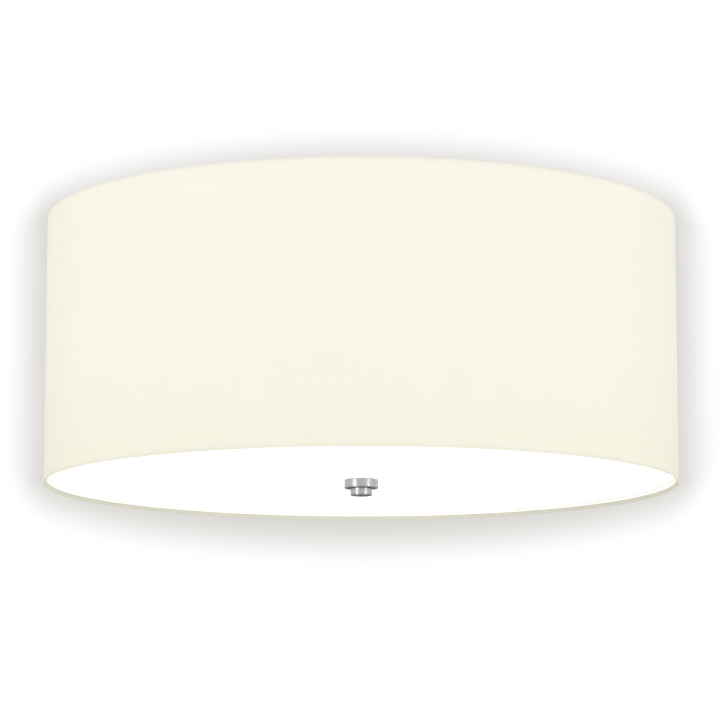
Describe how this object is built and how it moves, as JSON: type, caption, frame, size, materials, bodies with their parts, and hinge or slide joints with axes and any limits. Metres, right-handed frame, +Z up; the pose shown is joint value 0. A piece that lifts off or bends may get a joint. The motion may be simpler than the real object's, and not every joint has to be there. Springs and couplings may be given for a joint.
{
  "type": "flush mount ceiling light",
  "caption": "Round fabric drum ceiling light with an opal disc closing it below, held up by a stepped metal finial on a threaded rod, and bulbs lying flat inside.",
  "frame": {"origin": "on the ceiling plane, midway between the mounting bracket's two slots", "axes": "+Z up into the ceiling, +X to the right as seen from the front, +Y to the back, where the shade's seam is"},
  "size_m": [0.6, 0.6004, 0.2656],
  "materials": {
    "zinc_plated_steel": "satin",
    "white_enamel": "satin",
    "satin_nickel": "satin",
    "opal_acrylic": "satin",
    "ivory_cloth": "matte",
    "white_film": "matte",
    "white_nylon": "satin",
    "brass": "satin",
    "nickel_plated_brass": "gloss",
    "white_holder_plastic": "satin",
    "bulb_housing_plastic": "satin",
    "opal_globe": "satin",
    "black_glass": "gloss",
    "black_rubber": "matte",
    "clear_silicone": "satin",
    "brown_insulation": "satin",
    "blue_insulation": "satin",
    "green_yellow_insulation": "satin",
    "aluminium": "satin"
  },
  "bodies": {
    "fixture": {"mounting_bracket": "zinc_plated_steel", "bracket_studs": "zinc_plated_steel", "stud_cap_nuts": "white_enamel", "ceiling_pan": "white_enamel", "terminal_block": "white_nylon", "terminal_clamps": "brass", "terminal_screws": "zinc_plated_steel", "earth_tag": "zinc_plated_steel", "earth_screw": "zinc_plated_steel", "lead_grommets": "black_rubber", "live_leads": "brown_insulation", "neutral_leads": "blue_insulation", "earth_lead": "green_yellow_insulation", "centre_rod": "zinc_plated_steel", "rod_nuts": "zinc_plated_steel", "rod_lock_washer": "zinc_plated_steel", "holder_nipples": "zinc_plated_steel", "holder_nuts": "zinc_plated_steel", "bracket_rivets": "aluminium", "holder_contacts": "brass", "shade_fabric": "ivory_cloth", "shade_lining": "white_film", "shade_top_ring": "white_enamel", "carrier_arms": "white_enamel", "carrier_hub": "white_enamel", "carrier_studs": "zinc_plated_steel", "carrier_thumb_nuts": "white_enamel", "shade_bottom_ring": "white_enamel", "stop_nut": "zinc_plated_steel", "stop_washer": "zinc_plated_steel", "upper_cushion": "clear_silicone", "holder_bracket_1": "white_enamel", "holder_dome_1": "white_holder_plastic", "holder_barrel_1": "white_holder_plastic", "holder_shell_1": "nickel_plated_brass", "holder_bracket_2": "white_enamel", "holder_dome_2": "white_holder_plastic", "holder_barrel_2": "white_holder_plastic", "holder_shell_2": "nickel_plated_brass", "holder_bracket_3": "white_enamel", "holder_dome_3": "white_holder_plastic", "holder_barrel_3": "white_holder_plastic", "holder_shell_3": "nickel_plated_brass"},
    "diffuser": {"diffuser_disc": "opal_acrylic"},
    "collar": {"finial_collar": "satin_nickel", "lower_cushion": "clear_silicone"},
    "cap": {"finial_cap": "satin_nickel"},
    "bulb_1": {"bulb_tip_1": "black_glass", "bulb_cap_1": "nickel_plated_brass", "bulb_housing_1": "bulb_housing_plastic", "bulb_globe_1": "opal_globe"},
    "bulb_2": {"bulb_tip_2": "black_glass", "bulb_cap_2": "nickel_plated_brass", "bulb_housing_2": "bulb_housing_plastic", "bulb_globe_2": "opal_globe"},
    "bulb_3": {"bulb_tip_3": "black_glass", "bulb_cap_3": "nickel_plated_brass", "bulb_housing_3": "bulb_housing_plastic", "bulb_globe_3": "opal_globe"}
  },
  "joints": [
    {"name": "diffuser_lower", "type": "slide", "parent": "fixture", "child": "diffuser", "axis": [0, 0, -1], "range_m": [0, 0.15]},
    {"name": "finial_travel", "type": "slide", "parent": "diffuser", "child": "collar", "axis": [0, 0, -1], "range_m": [0, 0.008]},
    {"name": "cap_turn", "type": "hinge", "parent": "collar", "child": "cap", "pos_m": [0, 0, -0.2584], "axis": [0, 0, -1], "range_deg": [0, 2880]},
    {"name": "bulb_1_out", "type": "slide", "parent": "fixture", "child": "bulb_1", "axis": [0, 1, 0], "range_m": [0, 0.03]},
    {"name": "bulb_2_out", "type": "slide", "parent": "fixture", "child": "bulb_2", "axis": [-0.866, -0.5, 0], "range_m": [0, 0.03]},
    {"name": "bulb_3_out", "type": "slide", "parent": "fixture", "child": "bulb_3", "axis": [0.866, -0.5, 0], "range_m": [0, 0.03]}
  ],
  "couplings": [
    {"joint": "cap_turn", "follows": "finial_travel", "rad_per_m": 6283.2}
  ]
}
